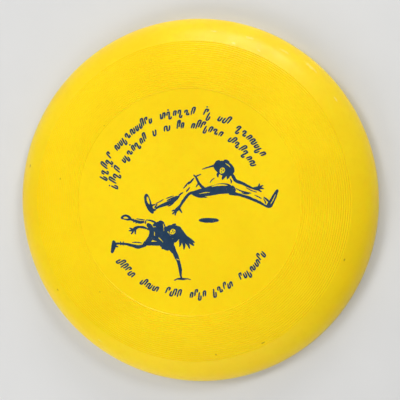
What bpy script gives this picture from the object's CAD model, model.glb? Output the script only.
"""Looks of the printed flying disc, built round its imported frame: the moulding with its fine ribs, the
print as thin films of ink, their materials, and a plain studio."""

import math
import random
from collections import defaultdict

import bmesh
import bpy
import numpy as np
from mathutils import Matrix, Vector, noise
from mathutils.geometry import tessellate_polygon


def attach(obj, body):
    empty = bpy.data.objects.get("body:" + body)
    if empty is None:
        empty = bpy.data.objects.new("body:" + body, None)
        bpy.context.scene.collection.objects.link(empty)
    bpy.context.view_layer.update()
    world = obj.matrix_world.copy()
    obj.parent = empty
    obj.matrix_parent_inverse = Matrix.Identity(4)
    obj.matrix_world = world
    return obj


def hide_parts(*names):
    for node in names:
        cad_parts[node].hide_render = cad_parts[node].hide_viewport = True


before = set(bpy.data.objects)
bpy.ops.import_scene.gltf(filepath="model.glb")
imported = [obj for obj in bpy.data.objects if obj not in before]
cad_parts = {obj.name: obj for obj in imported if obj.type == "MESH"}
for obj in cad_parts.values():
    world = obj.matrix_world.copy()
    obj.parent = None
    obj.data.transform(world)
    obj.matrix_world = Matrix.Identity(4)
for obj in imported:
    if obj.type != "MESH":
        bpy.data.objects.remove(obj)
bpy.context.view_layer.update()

BODY = "root"
DISC = "disc_body"
MM = 0.001

# Reading the frame
SAME_PLACE_DECIMALS = 6  # points closer than a thousandth of a millimetre are one
FLAT_UP = 0.9  # a face with a normal this far up is the top of a film

# Refining the moulding's outline
TURNED_STEPS = 288
RIB_SPACING = (0.5 * MM, 0.9 * MM)  # radial distance from a rib's crest to the groove beside it
RIB_STEPS = 4
CORNER_DEG = 24  # an outline turning by more than this keeps a crisp edge
PLATE_STEP = 3.5 * MM
CURVE_STEP = 1.1 * MM
LEVEL_SLOPE = 0.05  # an outline less steep than this is taken as level

# Ink
INK_SINK = 0.004 * MM
INK_THICKNESS = 0.035 * MM
OVERLAP_STEP = 0.002 * MM  # each island of a piece lies this much higher than the one before
WAIST = 0.35 * MM  # a word's film narrower than this is only the hairline between two signs
WORD_ROUNDING = 0.8 * MM
PLAYER_ROUNDING = 0.8 * MM
CUT_ROUNDING = 1.2 * MM
CORNER_CUT = 0.25  # the most of an edge that a rounding cut takes at each end
OUTLINE_STEP = 0.3 * MM
RAGGED = 0.03 * MM  # spread of an outline's finest unevenness
INK_SPREAD = 0.09 * MM  # how far ink runs past its outline
WORD_WAVER = (0.09 * MM, 1.4 * MM)  # height and length of its slower unevenness
PLAYER_WAVER = (0.24 * MM, 2.6 * MM)
FACE_WAVER = (0.02 * MM, 1.4 * MM)
DOT_CHANCE = 0.12
DOT_RISE = 1.1 * MM
DOT_LENGTH = 0.55  # half, in millimetres, like every station below
DOT_HALF_WIDTH = 0.42
INK_SEED = 5

# Bare strips inside the printed players, and strokes added to them. Each is a band through stations
# (x, y, half width) in millimetres.
CUTS = {
    "leaper_head": (
        ((26.6, 27.0, 0.15), (28.6, 25.9, 0.35), (30.2, 24.2, 0.15)),
    ),
    "leaper_shorts": (
        ((17.0, 10.9, 0.2), (20.6, 12.1, 0.6), (24.6, 12.2, 0.6), (28.2, 11.9, 0.2)),
        ((8.4, 6.0, 0.15), (12.2, 6.9, 0.3), (16.0, 7.0, 0.15)),
    ),
    "leaper_rear_shoe": (
        ((-27.0, -1.2, 0.4), (-28.0, 1.4, 0.95), (-28.5, 4.0, 0.45)),
    ),
    "leaper_front_shoe": (
        ((57.6, -1.0, 0.15), (59.6, 2.4, 0.3), (61.2, 6.0, 0.15)),
    ),
    "balancer_shirt": (
        ((-22.4, -23.4, 0.15), (-19.8, -25.0, 0.35), (-17.4, -27.6, 0.15)),
        ((-17.2, -14.6, 0.15), (-16.6, -17.2, 0.35), (-16.8, -20.0, 0.15)),
    ),
    "balancer_upper_shoe": (
        ((-42.2, -11.2, 0.3), (-44.2, -10.7, 0.8), (-45.9, -10.9, 0.35)),
    ),
    "balancer_support_arm": (
        ((-7.9, -39.2, 0.15), (-6.9, -39.6, 0.28), (-5.6, -39.9, 0.15)),
    ),
}
STROKES = {
    "leaper_head": (
        ((22.0, 20.6, 0.9), (21.2, 18.9, 0.7), (21.6, 17.4, 0.3)),
        ((26.0, 18.9, 1.3), (25.2, 17.2, 0.9), (24.4, 15.8, 0.4)),
        ((28.6, 19.2, 1.5), (28.6, 17.4, 0.9), (27.9, 16.2, 0.3)),
        ((23.0, 28.0, 1.2), (21.2, 28.2, 0.9), (19.5, 27.3, 0.35)),
        ((25.6, 28.3, 1.2), (27.8, 28.6, 0.9), (29.6, 27.6, 0.35)),
        ((30.2, 24.4, 1.3), (31.8, 24.0, 0.9), (32.7, 22.6, 0.35)),
        ((18.8, 25.4, 0.7), (17.0, 24.9, 0.5), (13.6, 24.0, 0.35), (10.4, 22.9, 0.15)),
    ),
    "leaper_shirt": (
        ((31.2, 19.4, 0.9), (32.2, 17.8, 1.1), (33.4, 15.8, 0.9)),
        ((29.8, 16.6, 0.25), (31.0, 14.8, 0.5), (30.6, 13.2, 0.3)),
        ((19.2, 17.0, 0.15), (17.0, 15.4, 0.3), (16.0, 13.6, 0.15)),
        ((6.2, 18.0, 0.5), (8.0, 18.9, 0.4), (9.8, 19.6, 0.15)),
        ((8.4, 13.4, 0.6), (7.0, 12.0, 0.4), (6.2, 10.6, 0.15)),
    ),
    "leaper_shorts": (
        ((4.8, 17.0, 0.25), (2.6, 14.4, 0.7), (0.6, 12.6, 0.35)),
        ((1.4, 14.6, 0.2), (-0.8, 11.8, 0.5), (-2.8, 9.7, 0.25)),
        ((1.8, 10.4, 0.25), (0.4, 8.8, 0.5), (-0.8, 7.4, 0.3)),
        ((9.6, 11.6, 0.9), (10.8, 10.4, 1.0), (12.2, 9.6, 0.8)),
        ((31.2, 11.6, 0.6), (33.0, 10.1, 0.5), (33.8, 8.2, 0.3)),
        ((29.6, 9.3, 2.5), (31.8, 8.3, 1.4), (33.6, 7.0, 0.5)),
        ((3.0, 6.1, 0.5), (8.0, 4.0, 0.7), (14.0, 3.7, 0.25)),
    ),
    "leaper_front_leg": (
        ((34.0, 9.8, 0.2), (37.2, 8.1, 0.4), (40.6, 7.2, 0.45), (44.6, 6.5, 0.2)),
        ((37.8, 6.9, 0.2), (40.8, 6.1, 0.5), (43.4, 6.2, 0.2)),
        ((46.6, 5.4, 0.2), (49.4, 4.2, 0.35), (51.6, 2.8, 0.2)),
        ((50.0, 1.2, 0.2), (51.2, 0.5, 0.5), (51.8, -0.6, 0.3)),
        ((52.8, 2.9, 0.2), (54.0, 1.3, 0.4), (54.4, -0.6, 0.3)),
        ((29.0, 6.6, 1.1), (32.2, 6.3, 1.2), (35.0, 5.9, 0.9)),
        ((52.8, -1.3, 0.6), (54.6, -2.2, 0.7), (56.0, -2.5, 0.9)),
    ),
    "leaper_front_shoe": (
        ((56.8, 0.6, 0.5), (55.0, 2.5, 0.6), (53.0, 4.0, 0.3)),
    ),
    "leaper_front_arm": (
        ((49.4, 10.6, 0.6), (49.9, 12.0, 0.5), (50.2, 13.2, 0.3)),
        ((50.4, 10.6, 0.6), (51.6, 11.4, 0.5), (52.7, 11.9, 0.3)),
        ((50.4, 10.0, 0.6), (52.0, 9.9, 0.5), (53.2, 9.5, 0.3)),
        ((49.0, 9.2, 0.6), (50.4, 8.2, 0.5), (51.6, 7.6, 0.3)),
        ((41.0, 10.4, 0.15), (44.6, 8.3, 0.3), (48.4, 7.2, 0.15)),
    ),
    "leaper_rear_arm": (
        ((-8.2, -5.4, 0.6), (-9.8, -5.5, 0.5), (-11.0, -6.0, 0.3)),
        ((-8.2, -6.0, 0.6), (-9.7, -7.1, 0.5), (-10.6, -8.2, 0.3)),
        ((-7.6, -6.0, 0.6), (-8.4, -7.7, 0.5), (-8.7, -9.1, 0.3)),
        ((-5.8, -3.8, 0.7), (-4.8, -5.6, 0.6), (-3.7, -7.2, 0.3)),
        ((3.2, 6.9, 0.9), (1.2, 6.0, 0.8), (-0.4, 4.4, 0.9)),
    ),
    "leaper_rear_leg": (
        ((-6.6, 4.4, 0.3), (-9.2, 3.5, 0.6), (-12.0, 2.3, 0.5), (-14.6, 1.2, 0.2)),
        ((-22.4, -0.8, 0.15), (-19.6, 0.4, 0.3), (-16.8, 2.2, 0.15)),
        ((-15.2, 2.6, 0.15), (-12.6, 3.6, 0.35), (-9.6, 4.6, 0.15)),
        ((-6.0, 4.6, 0.5), (-4.4, 6.2, 0.5), (-2.8, 7.0, 0.25)),
        ((-23.2, -3.8, 0.5), (-22.1, -2.4, 0.45), (-21.4, -1.0, 0.2)),
        ((-9.0, 0.4, 0.2), (-11.6, -1.9, 0.4), (-14.0, -2.6, 0.2)),
    ),
    "leaper_rear_shoe": (
        ((-25.8, -5.0, 1.1), (-24.0, -5.4, 1.0), (-22.2, -5.0, 0.5)),
        ((-26.2, -1.8, 0.5), (-24.2, -2.0, 0.5), (-22.4, -1.2, 0.25)),
    ),
    "balancer_head": (
        ((-2.6, -23.8, 1.7), (1.4, -25.4, 1.1), (5.2, -27.8, 0.4)),
        ((-1.8, -26.0, 1.3), (0.6, -29.0, 0.9), (1.6, -32.0, 0.35)),
        ((-3.6, -25.8, 1.4), (-2.2, -29.4, 0.9), (-2.5, -32.6, 0.35)),
        ((-5.0, -25.2, 1.2), (-4.9, -28.4, 0.8), (-5.6, -30.8, 0.3)),
        ((-10.6, -16.4, 1.1), (-9.4, -15.2, 0.7), (-7.9, -15.0, 0.3)),
        ((-7.2, -17.4, 1.3), (-5.4, -17.4, 0.8), (-4.2, -18.6, 0.3)),
        ((-13.0, -17.8, 1.5), (-15.0, -18.6, 1.8), (-16.4, -19.2, 1.6)),
        ((-6.6, -24.0, 1.3), (-8.2, -25.6, 1.5), (-10.0, -27.0, 1.6)),
        ((-11.2, -23.4, 0.9), (-9.8, -24.2, 1.2), (-8.2, -24.6, 1.1)),
        ((-11.2, -23.3, 0.7), (-12.4, -24.2, 1.2), (-13.6, -25.0, 1.2)),
    ),
    "balancer_shirt": (
        ((-15.6, -30.0, 1.5), (-17.4, -31.2, 1.1), (-18.2, -32.4, 0.4)),
    ),
    "balancer_shorts": (
        ((-22.2, -14.2, 0.5), (-25.6, -12.7, 0.6), (-29.0, -12.2, 0.25)),
        ((-28.8, -11.9, 0.2), (-29.9, -13.4, 0.4), (-29.8, -15.2, 0.2)),
        ((-30.4, -27.2, 0.25), (-31.5, -29.0, 0.4), (-31.4, -31.0, 0.3)),
        ((-24.6, -18.4, 1.3), (-22.6, -19.0, 1.8), (-21.0, -19.4, 1.6)),
        ((-24.9, -24.6, 1.5), (-22.6, -25.0, 1.8), (-20.6, -25.4, 1.6)),
        ((-29.6, -29.4, 0.8), (-24.6, -28.6, 1.3), (-19.4, -28.8, 1.5)),
        ((-24.4, -16.2, 1.0), (-22.2, -15.0, 1.1), (-19.8, -14.4, 1.2)),
    ),
    "balancer_upper_leg": (
        ((-30.2, -12.3, 0.2), (-33.6, -12.0, 0.35), (-36.4, -11.4, 0.2)),
        ((-36.7, -15.0, 0.2), (-36.4, -13.6, 0.4), (-36.9, -12.0, 0.2)),
        ((-38.5, -14.2, 0.2), (-38.2, -13.0, 0.4), (-38.6, -11.4, 0.2)),
        ((-38.6, -12.6, 0.6), (-39.8, -12.1, 0.7), (-41.2, -11.6, 0.9)),
    ),
    "balancer_lower_leg": (
        ((-32.4, -28.5, 0.2), (-36.0, -27.9, 0.4), (-39.6, -28.1, 0.2)),
        ((-45.8, -27.5, 0.2), (-46.2, -28.9, 0.4), (-45.9, -30.4, 0.2)),
        ((-47.9, -27.5, 0.2), (-48.3, -28.9, 0.4), (-48.1, -30.3, 0.2)),
        ((-48.8, -28.9, 0.6), (-50.6, -29.1, 0.7), (-52.2, -29.5, 0.9)),
        ((-52.4, -30.4, 0.9), (-50.8, -31.2, 0.5), (-49.6, -31.4, 0.25)),
        ((-29.2, -29.4, 0.9), (-31.0, -30.2, 1.0), (-33.4, -30.9, 1.1)),
    ),
    "balancer_free_arm": (
        ((-38.6, -19.0, 0.6), (-40.2, -18.6, 0.5), (-41.5, -17.9, 0.3)),
        ((-38.9, -19.6, 0.6), (-40.6, -19.9, 0.5), (-42.0, -19.9, 0.3)),
        ((-38.4, -20.0, 0.6), (-39.5, -21.4, 0.5), (-40.3, -22.4, 0.3)),
        ((-37.0, -19.4, 0.6), (-37.3, -21.2, 0.5), (-37.2, -22.4, 0.3)),
        ((-28.8, -18.4, 0.5), (-27.2, -18.8, 0.7), (-25.8, -19.4, 0.8)),
    ),
    "balancer_support_arm": (
        ((-11.8, -30.4, 2.6), (-10.4, -32.8, 2.1), (-9.3, -35.0, 1.6)),
    ),
    "balancer_support_hand": (
        ((-4.8, -51.0, 0.6), (-4.5, -52.2, 0.6), (-4.0, -53.0, 0.6)),
        ((-7.6, -53.2, 0.4), (-8.8, -53.9, 0.35), (-9.8, -54.0, 0.2)),
        ((0.2, -52.9, 0.3), (1.4, -53.4, 0.3), (2.2, -53.3, 0.2)),
    ),
}

# Faint straight scratches run in these directions, in degrees, each set with its own shift of the noise.
SCRATCH_SETS = ((12, 0.0), (74, 3.1), (131, 7.7))

# The players' plain faces: where each one's middle is and which way its brow points. The outline and the
# marks are bands like those above, in the face's own frame: eyes halfway down the head, then nose, mouth.
FACES = {
    "leaper_head": ((24.5, 22.0), 62),
    "balancer_head": ((-10.5, -20.3), 38),
}
FACE_OUTLINE = ((0.0, 2.2, 0.5), (0.0, 1.4, 1.5), (0.0, 0.2, 1.85), (0.0, -1.2, 1.45), (0.0, -2.2, 0.6))
FACE_MARKS = (
    ((-0.98, 0.35, 0.14), (-0.65, 0.44, 0.2), (-0.32, 0.35, 0.14)),
    ((0.32, 0.35, 0.14), (0.65, 0.44, 0.2), (0.98, 0.35, 0.14)),
    ((-1.05, 0.95, 0.1), (-0.68, 1.1, 0.13), (-0.3, 1.0, 0.1)),
    ((0.3, 1.0, 0.1), (0.68, 1.1, 0.13), (1.05, 0.95, 0.1)),
    ((0.0, 0.1, 0.1), (0.08, -0.35, 0.13), (-0.06, -0.66, 0.1)),
    ((-0.52, -1.2, 0.11), (0.0, -1.28, 0.16), (0.52, -1.2, 0.11)),
)

# Wear on the top of the disc: roughly where each mark is (azimuth from the print's right, and radius in
# millimetres) and its half size across and along the rim in millimetres.
MARK_HALF_HEIGHT = 5.0
PALE_NICKS = (
    (82, 120, 0.7, 2.6),
    (70, 121, 1.0, 4.2),
    (65, 115, 0.7, 1.2),
    (58, 123, 0.8, 4.6),
    (48, 125, 0.9, 5.2),
    (74, 114, 0.8, 1.6),
    (35, 123, 0.6, 2.4),
    (236, 121, 0.5, 1.6),
)
DARK_SPECKS = (
    (170, 94, 0.5, 1.0),
    (168, 122, 0.6, 1.6),
    (138, 80, 0.3, 0.6),
    (225, 90, 0.4, 0.5),
    (213, 117, 0.5, 0.9),
    (280, 108, 0.9, 0.8),
    (298, 110, 0.7, 1.3),
    (340, 114, 0.5, 1.1),
)

# Studio. The dome brightens from its floor toward one direction, between two cosines from it. A softbox has
# its azimuth from the print's right, elevation, distance, size and power, and says whether gloss shows it.
DOME_FLOOR = 0.17
DOME_BRIGHTEST = 0.43
DOME_TOWARD = (0.0, 1.0, 0.2)
DOME_COSINES = (-0.2, 0.9)
FLOOR_HALF_SIDE = 3.0
FLOOR_SINK = 0.2 * MM
SOFTBOXES = {
    "top_softbox": (80, 24, 1.1, (0.7, 0.22), 4.4, True),
    "left_key": (150, 60, 1.4, (0.4, 0.4), 5.0, False),
    "right_key": (48, 45, 1.4, (0.3, 0.3), 4.6, False),
    "front_left_fill": (225, 35, 1.4, (0.5, 0.5), 5.0, False),
    "front_fill": (270, 45, 1.4, (0.5, 0.5), 3.4, False),
    "front_bounce": (-95, 25, 1.0, (1.2, 0.6), 1.6, True),
}

# Camera: it stands off the disc's axis, to the print's right and a little above
VIEW_FROM = Vector((0.190, 0.038, 0.981)).normalized()
VIEW_DISTANCE = 0.70
VIEW_OFFSET = (2.5 * MM, 0.5 * MM)
LENS = 87.0
SENSOR = 36.0


class Graph:
    """A material's nodes. Each call adds a node, and links or sets its inputs."""

    def __init__(self, name):
        self.material = bpy.data.materials.new(name)
        self.material.use_nodes = True
        self.tree = self.material.node_tree
        self.tree.nodes.clear()

    def add(self, kind, inputs=None, **properties):
        node = self.tree.nodes.new("ShaderNode" + kind)
        for key, value in properties.items():
            setattr(node, key, value)
        for key, value in (inputs or {}).items():
            if isinstance(value, bpy.types.NodeSocket):
                self.tree.links.new(value, node.inputs[key])
            else:
                node.inputs[key].default_value = value
        return node

    def math(self, operation, *values, clamp=False):
        node = self.add("Math", dict(enumerate(values)), operation=operation, use_clamp=clamp)
        return node.outputs[0]

    def band(self, value, low, high, to_low=0.0, to_high=1.0):
        """The value carried smoothly from low..high to to_low..to_high, and held beyond."""
        inputs = {"Value": value, "From Min": low, "From Max": high, "To Min": to_low, "To Max": to_high}
        return self.add("MapRange", inputs, interpolation_type="SMOOTHSTEP").outputs["Result"]

    def mix(self, factor, first, second):
        node = self.add("Mix", data_type="RGBA")
        self.fill(node, "Factor", factor)
        self.fill(node, "A", first)
        self.fill(node, "B", second)
        return [socket for socket in node.outputs if socket.type == "RGBA"][0]

    def fill(self, node, name, value):
        kind = "VALUE" if name == "Factor" else "RGBA"
        socket = [s for s in node.inputs if s.name == name and s.type == kind][0]
        if isinstance(value, bpy.types.NodeSocket):
            self.tree.links.new(value, socket)
        else:
            socket.default_value = value

    def noise(self, coordinates, scale, detail=2.0, roughness=0.5):
        inputs = {"Vector": coordinates, "Scale": scale, "Detail": detail, "Roughness": roughness}
        return self.add("TexNoise", inputs).outputs["Fac"]

    def marks(self, coordinates, table, ragged, points):
        """1 inside the marks of a table of wear and 0 outside them, with a ragged edge."""
        total = 0.0
        for azimuth, radius_mm, half_across, half_along in table:
            a, radius = math.radians(azimuth), radius_mm * MM
            middle = (radius * math.cos(a), radius * math.sin(a), top_height(points, radius))
            away_from = self.add("VectorMath", {0: coordinates, 1: middle}, operation="SUBTRACT")
            shifted = away_from.outputs["Vector"]
            sizes = [1 / (half * MM) for half in (half_across, half_along, MARK_HALF_HEIGHT)]
            within = self.stretched(shifted, -azimuth, sizes)
            away = self.add("VectorMath", {0: within}, operation="LENGTH").outputs["Value"]
            mark = self.band(self.math("ADD", away, ragged), 0.5, 1.1, 1.0, 0.0)
            total = self.math("MAXIMUM", mark, total)
        return total

    def stretched(self, coordinates, turn_deg, scale):
        """Coordinates turned about the disc's axis and then scaled apart along X and Y."""
        turned = self.add("Mapping", {"Vector": coordinates, "Rotation": (0, 0, math.radians(turn_deg))})
        inputs = {"Vector": turned.outputs["Vector"], "Scale": scale}
        return self.add("Mapping", inputs).outputs["Vector"]


def rgba(red, green, blue):
    return (red, green, blue, 1.0)


def in_plane_outline(node):
    """The node's outline (r, z) where it crosses the half plane y = 0, from its top to its underside."""
    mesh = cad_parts[node].data
    places = {}
    for vertex in mesh.vertices:
        x, y, z = (round(c, SAME_PLACE_DECIMALS) for c in vertex.co)
        if y == 0 and x >= 0:
            places[vertex.index] = (x, z)
    joined = defaultdict(set)
    for edge in mesh.edges:
        a, b = (places.get(index) for index in edge.vertices)
        if a and b and a != b:
            joined[a].add(b)
            joined[b].add(a)
    point = max((p for p in joined if p[0] == 0), key=lambda p: p[1])
    outline = [point]
    while True:
        onward = [p for p in joined[point] if p not in outline[-2:]]
        if not onward:
            return outline
        point = onward[0]
        outline.append(point)


def rib_stretch(outline):
    """Index of the first crest and of the last, found by the even spacing of crests and grooves."""
    low, high = RIB_SPACING
    even = [low < b[0] - a[0] < high for a, b in zip(outline, outline[1:])]
    first = even.index(True)
    return first, even.index(False, first)


def rounded_ribs(points):
    """Each rib as a half-round ridge between sharp grooves, and how deep in a groove each point lies."""
    fine, depths = [points[0]], [0.0]
    for i, (a, b) in enumerate(zip(points, points[1:])):
        falling = i % 2 == 0
        for step in range(1, RIB_STEPS + 1):
            t = step / RIB_STEPS
            drop = 1 - math.sqrt(1 - t**2) if falling else 1 - math.sqrt(1 - (1 - t) ** 2)
            share = drop if falling else 1 - drop
            fine.append((a[0] + (b[0] - a[0]) * t, a[1] + (b[1] - a[1]) * share))
            depths.append(drop)
    return fine, depths


def split_at_corners(points):
    runs, start = [], 0
    for i in range(1, len(points) - 1):
        before = Vector(points[i]) - Vector(points[i - 1])
        after = Vector(points[i + 1]) - Vector(points[i])
        if before.angle(after) > math.radians(CORNER_DEG):
            runs.append(points[start : i + 1])
            start = i
    return runs + [points[start:]]


def smooth_run(points):
    """A smooth curve through the points, with steps no longer than the surface needs."""
    fine = [points[0]]
    for i in range(len(points) - 1):
        a, b = Vector(points[i]), Vector(points[i + 1])
        length = (b - a).length
        before = Vector(points[i - 1]) if i > 0 else 2 * a - b
        after = Vector(points[i + 2]) if i + 2 < len(points) else 2 * b - a
        leave = (b - before) * (length / (length + (a - before).length))
        arrive = (after - a) * (length / (length + (after - b).length))
        level = abs(b.y - a.y) < LEVEL_SLOPE * length
        steps = max(1, math.ceil(length / (PLATE_STEP if level else CURVE_STEP)))
        for step in range(1, steps + 1):
            t = step / steps
            point = (
                (2 * t**3 - 3 * t**2 + 1) * a
                + (t**3 - 2 * t**2 + t) * leave
                + (3 * t**2 - 2 * t**3) * b
                + (t**3 - t**2) * arrive
            )
            fine.append(tuple(point))
    return fine


def smoothed(points):
    fine = [points[0]]
    for run in split_at_corners(points):
        fine += smooth_run(run)[1:]
    return fine


def fine_outline():
    """The moulding's whole outline, refined, and each point's depth in a groove."""
    outline = in_plane_outline(DISC)
    first, last = rib_stretch(outline)
    plate = smoothed(outline[: first + 1])
    ribs, rib_depths = rounded_ribs(outline[first : last + 1])
    rest = smoothed(outline[last:])
    points = plate[:-1] + ribs + rest[1:]
    depths = [0.0] * (len(plate) - 1) + rib_depths + [0.0] * (len(rest) - 1)
    return points, depths, len(plate) - 1


def top_height(points, radius):
    """Height of the moulding's top at a radius, from its outline."""
    widest = max(range(len(points)), key=lambda i: points[i][0])
    radii, heights = zip(*points[: widest + 1])
    return float(np.interp(radius, radii, heights))


def new_piece(name, mesh, node, material):
    """An object in place of one CAD node, riding on the disc."""
    piece = bpy.data.objects.new(name, mesh)
    bpy.context.scene.collection.objects.link(piece)
    mesh.materials.append(material)
    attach(piece, BODY)
    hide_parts(node)
    return piece


def make_disc(points, depths, material):
    """The moulding, turned in fine steps. Its groove attribute is 0 on crests and 1 in grooves."""
    rings = points[1:-1]
    angles = np.arange(TURNED_STEPS) * math.tau / TURNED_STEPS
    verts = [(0.0, 0.0, points[0][1])]
    for r, z in rings:
        verts += zip(r * np.cos(angles), r * np.sin(angles), np.full(TURNED_STEPS, z))
    verts.append((0.0, 0.0, points[-1][1]))
    end = len(verts) - 1
    faces = []
    for step in range(TURNED_STEPS):
        onward = (step + 1) % TURNED_STEPS
        faces.append((0, 1 + step, 1 + onward))
        for ring in range(len(rings) - 1):
            upper, lower = 1 + ring * TURNED_STEPS, 1 + (ring + 1) * TURNED_STEPS
            faces.append((upper + step, lower + step, lower + onward, upper + onward))
        last = 1 + (len(rings) - 1) * TURNED_STEPS
        faces.append((end, last + onward, last + step))
    mesh = bpy.data.meshes.new("disc_moulding")
    mesh.from_pydata(verts, [], faces)
    groove = mesh.attributes.new("groove", "FLOAT", "POINT")
    values = [0.0] + [d for d in depths[1:-1] for _ in range(TURNED_STEPS)] + [0.0]
    groove.data.foreach_set("value", values)
    mesh.shade_smooth()
    mesh.set_sharp_from_angle(angle=math.radians(CORNER_DEG))
    return new_piece("disc_moulding", mesh, DISC, material)


def top_outline(node):
    """The closed outline (x, y) of a film's upper face."""
    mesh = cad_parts[node].data
    place = [tuple(round(c, SAME_PLACE_DECIMALS) for c in v.co) for v in mesh.vertices]
    onward = defaultdict(set)
    for face in mesh.polygons:
        if face.normal.z > FLAT_UP:
            corners = [place[i] for i in face.vertices]
            for a, b in zip(corners, corners[1:] + corners[:1]):
                if a in onward[b]:
                    onward[b].remove(a)
                else:
                    onward[a].add(b)
    start = next(a for a, ahead in onward.items() if ahead)
    outline, point = [start], next(iter(onward[start]))
    while point != start:
        outline.append(point)
        point = next(iter(onward[point]))
    return [Vector(p[:2]) for p in outline]


def rounded_loop(loop, reach, rounds=3):
    """The loop with its corners cut back and back again, by at most reach in the first cut."""
    for _ in range(rounds):
        cut = []
        for a, b in zip(loop, loop[1:] + loop[:1]):
            length = (b - a).length
            share = min(CORNER_CUT, reach / length) if length else CORNER_CUT
            cut += [a.lerp(b, share), a.lerp(b, 1 - share)]
        loop = cut
    return loop


def ragged_loop(loop, waver, rng, spread=INK_SPREAD):
    """The loop in even short steps, each point moved outwards by spread and a little either way."""
    if sum(a.cross(b) for a, b in zip(loop, loop[1:] + loop[:1])) < 0:
        loop = loop[::-1]
    fine = []
    for a, b in zip(loop, loop[1:] + loop[:1]):
        steps = max(1, round((b - a).length / OUTLINE_STEP))
        fine += [a.lerp(b, i / steps) for i in range(steps)]
    spaced = [fine[0]]
    for point in fine[1:]:
        if (point - spaced[-1]).length > OUTLINE_STEP / 2:
            spaced.append(point)
    height, length = waver
    moved = []
    for before, point, after in zip(spaced[-1:] + spaced, spaced, spaced[1:] + spaced[:1]):
        along = (after - before).normalized()
        shift = spread + height * noise.noise((point / length).to_3d()) + rng.gauss(0, RAGGED)
        moved.append(point + Vector((along.y, -along.x)) * shift)
    return moved


def two_sides(loop):
    """The loop's two long edges, in step from one end of its band to the other."""
    half = len(loop) // 2

    def turned(start):
        from_start = loop[start:] + loop[:start]
        return from_start[:half], from_start[: half - 1 : -1]

    return min((turned(start) for start in range(half)), key=lambda sides: sum_of_widths(*sides))


def sum_of_widths(left, right):
    return sum((a - b).length for a, b in zip(left, right))


def signs_of(loop):
    """A word's signs, as loops of their own without the hairlines that join them."""
    signs, left, right = [], [], []
    for a, b in zip(*two_sides(loop)):
        if (a - b).length < WAIST:
            signs.append(left + right[::-1])
            left, right = [], []
        else:
            left.append(a)
            right.append(b)
    return signs + [left + right[::-1]]


def band_loop(stations):
    """The outline of a band through stations (x, y, half width) in millimetres."""
    middles = [Vector(station[:2]) * MM for station in stations]
    left, right = [], []
    for i, (middle, (_, _, half_width)) in enumerate(zip(middles, stations)):
        along = (middles[min(i + 1, len(middles) - 1)] - middles[max(i - 1, 0)]).normalized()
        side = Vector((-along.y, along.x)) * half_width * MM
        left.append(middle + side)
        right.append(middle - side)
    return left + right[::-1]


def dot_over(sign, up):
    """A small dash above a sign, level with its word."""
    middle = sum(sign, Vector((0, 0))) / len(sign)
    top = max(point.dot(up) for point in sign)
    centre = (middle + up * (top - middle.dot(up) + DOT_RISE)) / MM
    along = Vector((up.y, -up.x)) * DOT_LENGTH
    ends = [centre - along, centre + along]
    return band_loop([(*end, DOT_HALF_WIDTH) for end in ends])


def word_islands(node, rng):
    islands = []
    for sign in signs_of(top_outline(node)):
        islands.append([ragged_loop(rounded_loop(sign, WORD_ROUNDING), WORD_WAVER, rng)])
        if rng.random() < DOT_CHANCE:
            outwards = sign[0].normalized()
            dot = dot_over(sign, -outwards if node.startswith("lower") else outwards)
            islands.append([ragged_loop(rounded_loop(dot, WORD_ROUNDING), WORD_WAVER, rng)])
    return islands


def on_face(stations, centre, brow_deg):
    """Stations given in a face's own frame, carried to where that face is."""
    turn = math.radians(brow_deg - 90)
    right = Vector((math.cos(turn), math.sin(turn)))
    up = Vector((-right.y, right.x))
    placed = []
    for across, along, half_width in stations:
        place = Vector(centre) + right * across + up * along
        placed.append((place.x, place.y, half_width))
    return placed


def player_islands(node, rng):
    cuts, strokes = list(CUTS.get(node, ())), list(STROKES.get(node, ()))
    marks = []
    if node in FACES:
        cuts.append(on_face(FACE_OUTLINE, *FACES[node]))
        marks = [on_face(mark, *FACES[node]) for mark in FACE_MARKS]
    main = [ragged_loop(rounded_loop(top_outline(node), PLAYER_ROUNDING), PLAYER_WAVER, rng)]
    for stations in cuts:
        main.append(ragged_loop(rounded_loop(band_loop(stations), CUT_ROUNDING), WORD_WAVER, rng, 0))
    islands = [main]
    for stations in strokes + marks:
        waver = WORD_WAVER if stations in strokes else FACE_WAVER
        islands.append([ragged_loop(rounded_loop(band_loop(stations), CUT_ROUNDING), waver, rng)])
    return islands


def lay_island(bm, loops, height_at):
    """A closed film over the plate, from its outline and the outlines of its holes."""
    rings = [[Vector((p.x, p.y, 0)) for p in loop] for loop in loops]
    flat = [p for ring in rings for p in ring]
    top = [bm.verts.new((p.x, p.y, height_at(p) + INK_THICKNESS)) for p in flat]
    bottom = [bm.verts.new((p.x, p.y, height_at(p) - INK_SINK)) for p in flat]
    for corners in tessellate_polygon(rings):
        bm.faces.new([top[i] for i in corners])
        bm.faces.new([bottom[i] for i in reversed(corners)])
    start = 0
    for ring in rings:
        for i in range(len(ring)):
            a, b = start + i, start + (i + 1) % len(ring)
            bm.faces.new((top[a], top[b], bottom[b], bottom[a]))
        start += len(ring)


def ink_mesh(name, islands, height_at):
    bm = bmesh.new()
    for number, loops in enumerate(islands):
        lift = number * OVERLAP_STEP
        lay_island(bm, loops, lambda point, lift=lift: height_at(point) + lift)
    bmesh.ops.recalc_face_normals(bm, faces=bm.faces)
    mesh = bpy.data.meshes.new(name)
    bm.to_mesh(mesh)
    bm.free()
    return mesh


def make_print(points, plate_end, material):
    """Every node of ink, laid on the fine plate over its CAD film."""
    plate = points[: plate_end + 1]
    radii, heights = [p[0] for p in plate], [p[1] for p in plate]
    rng = random.Random(INK_SEED)

    def height_at(point):
        return float(np.interp(math.hypot(point.x, point.y), radii, heights))

    for node in sorted(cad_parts):
        if node == DISC:
            continue
        islands = word_islands(node, rng) if "_word_" in node else player_islands(node, rng)
        new_piece(node + "_ink", ink_mesh(node + "_ink", islands, height_at), node, material)


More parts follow.
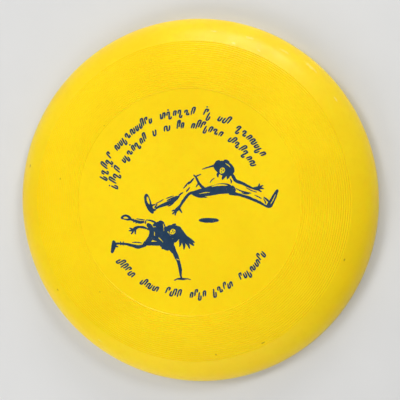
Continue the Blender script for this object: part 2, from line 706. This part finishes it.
def yellow_plastic(points):
    g = Graph("yellow_plastic")
    place = g.add("TexCoord").outputs["Object"]
    blotches = g.noise(place, 22, 3)
    mottle = g.noise(place, 260, 2)
    groove = g.add("Attribute", attribute_name="groove").outputs["Fac"]
    ragged = g.math("MULTIPLY", g.math("SUBTRACT", g.noise(place, 520, 4, 0.65), 0.5), 2.6)
    nicks = g.marks(place, PALE_NICKS, ragged, points)
    specks = g.marks(place, DARK_SPECKS, ragged, points)
    scratches = None
    for turn, seed in SCRATCH_SETS:
        lines = g.stretched(place, turn, (18, 1500, 1))
        shifted = g.add("VectorMath", {0: lines, 1: (seed, seed, 0)}, operation="ADD").outputs[0]
        one = g.band(g.noise(shifted, 1.0, 1), 0.70, 0.76)
        scratches = one if scratches is None else g.math("MAXIMUM", scratches, one)
    colour = g.mix(g.band(blotches, 0.35, 0.7, 0, 1), rgba(0.92, 0.66, 0.004), rgba(0.89, 0.62, 0.003))
    colour = g.mix(g.band(mottle, 0.4, 0.8, 0, 0.25), colour, rgba(0.84, 0.56, 0.003))
    colour = g.mix(g.band(groove, 0.45, 1.0, 0, 0.12), colour, rgba(0.60, 0.36, 0.002))
    colour = g.mix(g.math("MULTIPLY", scratches, 0.10), colour, rgba(0.95, 0.78, 0.10))
    colour = g.mix(g.math("MULTIPLY", nicks, 0.32), colour, rgba(0.95, 0.84, 0.36))
    colour = g.mix(g.math("MULTIPLY", specks, 0.60), colour, rgba(0.30, 0.16, 0.004))
    peel = g.noise(place, 900, 2)
    height = g.math("SUBTRACT", g.math("MULTIPLY", peel, 0.25), g.math("MULTIPLY", scratches, 0.6))
    height = g.math("SUBTRACT", height, g.math("MULTIPLY", nicks, 2.0))
    bump = g.add("Bump", {"Height": height, "Strength": 0.25, "Distance": 0.05 * MM}).outputs["Normal"]
    sheen = g.band(g.noise(place, 60, 3), 0.3, 0.7, 0.30, 0.42)
    rough = g.math("ADD", sheen, g.math("MULTIPLY", scratches, 0.15))
    inputs = {
        "Base Color": colour,
        "Roughness": rough,
        "IOR": 1.5,
        "Specular IOR Level": 0.38,
        "Specular Tint": rgba(1.0, 0.98, 0.88),
        "Subsurface Weight": 0.35,
        "Subsurface Radius": (1.0, 0.35, 0.03),
        "Subsurface Scale": 0.0015,
        "Normal": bump,
    }
    shader = g.add("BsdfPrincipled", inputs)
    g.add("OutputMaterial", {"Surface": shader.outputs["BSDF"]})
    return g.material


def navy_ink():
    g = Graph("navy_ink")
    place = g.add("TexCoord").outputs["Object"]
    patches = g.noise(place, 180, 3)
    grain = g.noise(place, 1400, 2)
    colour = g.mix(g.band(patches, 0.3, 0.7), rgba(0.011, 0.034, 0.078), rgba(0.019, 0.048, 0.092))
    pinholes = g.band(grain, 0.72, 0.78)
    colour = g.mix(g.math("MULTIPLY", pinholes, 0.7), colour, rgba(0.50, 0.38, 0.02))
    bump = g.add("Bump", {"Height": grain, "Strength": 0.3, "Distance": 0.02 * MM}).outputs["Normal"]
    inputs = {
        "Base Color": colour,
        "Roughness": g.band(patches, 0.3, 0.7, 0.42, 0.58),
        "Specular IOR Level": 0.28,
        "Normal": bump,
    }
    shader = g.add("BsdfPrincipled", inputs)
    g.add("OutputMaterial", {"Surface": shader.outputs["BSDF"]})
    return g.material


def floor_material():
    g = Graph("studio_floor")
    place = g.add("TexCoord").outputs["Object"]
    colour = g.mix(g.noise(place, 30, 3), rgba(0.64, 0.64, 0.635), rgba(0.67, 0.67, 0.665))
    shader = g.add("BsdfPrincipled", {"Base Color": colour, "Roughness": 0.8})
    g.add("OutputMaterial", {"Surface": shader.outputs["BSDF"]})
    return g.material


def make_floor():
    side, sink = FLOOR_HALF_SIDE, FLOOR_SINK
    mesh = bpy.data.meshes.new("floor")
    corners = [(-side, -side, -sink), (side, -side, -sink), (side, side, -sink), (-side, side, -sink)]
    mesh.from_pydata(corners, [], [(0, 1, 2, 3)])
    mesh.materials.append(floor_material())
    floor = bpy.data.objects.new("floor", mesh)
    bpy.context.scene.collection.objects.link(floor)


def add_softbox(name, azimuth, elevation, distance, size, watts, glossy):
    """A rectangular light aimed at the disc. One that is not glossy leaves no reflection of itself."""
    light = bpy.data.lights.new(name, "AREA")
    light.shape = "RECTANGLE"
    light.size, light.size_y = size
    light.energy = watts
    lamp = bpy.data.objects.new(name, light)
    bpy.context.scene.collection.objects.link(lamp)
    a, e = math.radians(azimuth), math.radians(elevation)
    toward = Vector((math.cos(a) * math.cos(e), math.sin(a) * math.cos(e), math.sin(e)))
    lamp.location = toward * distance
    lamp.rotation_mode = "QUATERNION"
    lamp.rotation_quaternion = (-toward).to_track_quat("-Z", "Y")
    lamp.visible_glossy = glossy


def make_dome():
    """Soft light from all round, with a broad brighter lobe."""
    world = bpy.data.worlds.new("studio")
    bpy.context.scene.world = world
    world.use_nodes = True
    tree = world.node_tree
    dot = tree.nodes.new("ShaderNodeVectorMath")
    dot.operation = "DOT_PRODUCT"
    dot.inputs[1].default_value = Vector(DOME_TOWARD).normalized()
    tree.links.new(tree.nodes.new("ShaderNodeTexCoord").outputs["Generated"], dot.inputs[0])
    lobe = tree.nodes.new("ShaderNodeMapRange")
    lobe.interpolation_type = "SMOOTHSTEP"
    tree.links.new(dot.outputs["Value"], lobe.inputs["Value"])
    lobe.inputs["From Min"].default_value, lobe.inputs["From Max"].default_value = DOME_COSINES
    lobe.inputs["To Min"].default_value = DOME_FLOOR
    lobe.inputs["To Max"].default_value = DOME_BRIGHTEST
    background = tree.nodes["Background"]
    background.inputs["Color"].default_value = rgba(1.0, 1.0, 1.0)
    tree.links.new(lobe.outputs["Result"], background.inputs["Strength"])


def make_studio():
    make_floor()
    make_dome()
    for name, settings in SOFTBOXES.items():
        add_softbox(name, *settings)
    bpy.context.scene.view_settings.view_transform = "Standard"


def make_camera():
    data = bpy.data.cameras.new("camera")
    data.lens, data.sensor_width = LENS, SENSOR
    camera = bpy.data.objects.new("camera", data)
    bpy.context.scene.collection.objects.link(camera)
    turn = Vector((0, 0, 1)).rotation_difference(VIEW_FROM)
    camera.rotation_mode = "QUATERNION"
    camera.rotation_quaternion = turn
    camera.location = turn @ Vector((*VIEW_OFFSET, VIEW_DISTANCE))
    bpy.context.scene.camera = camera


make_camera()
make_studio()
outline, groove_depths, plate_end = fine_outline()
make_disc(outline, groove_depths, yellow_plastic(outline))
make_print(outline, plate_end, navy_ink())
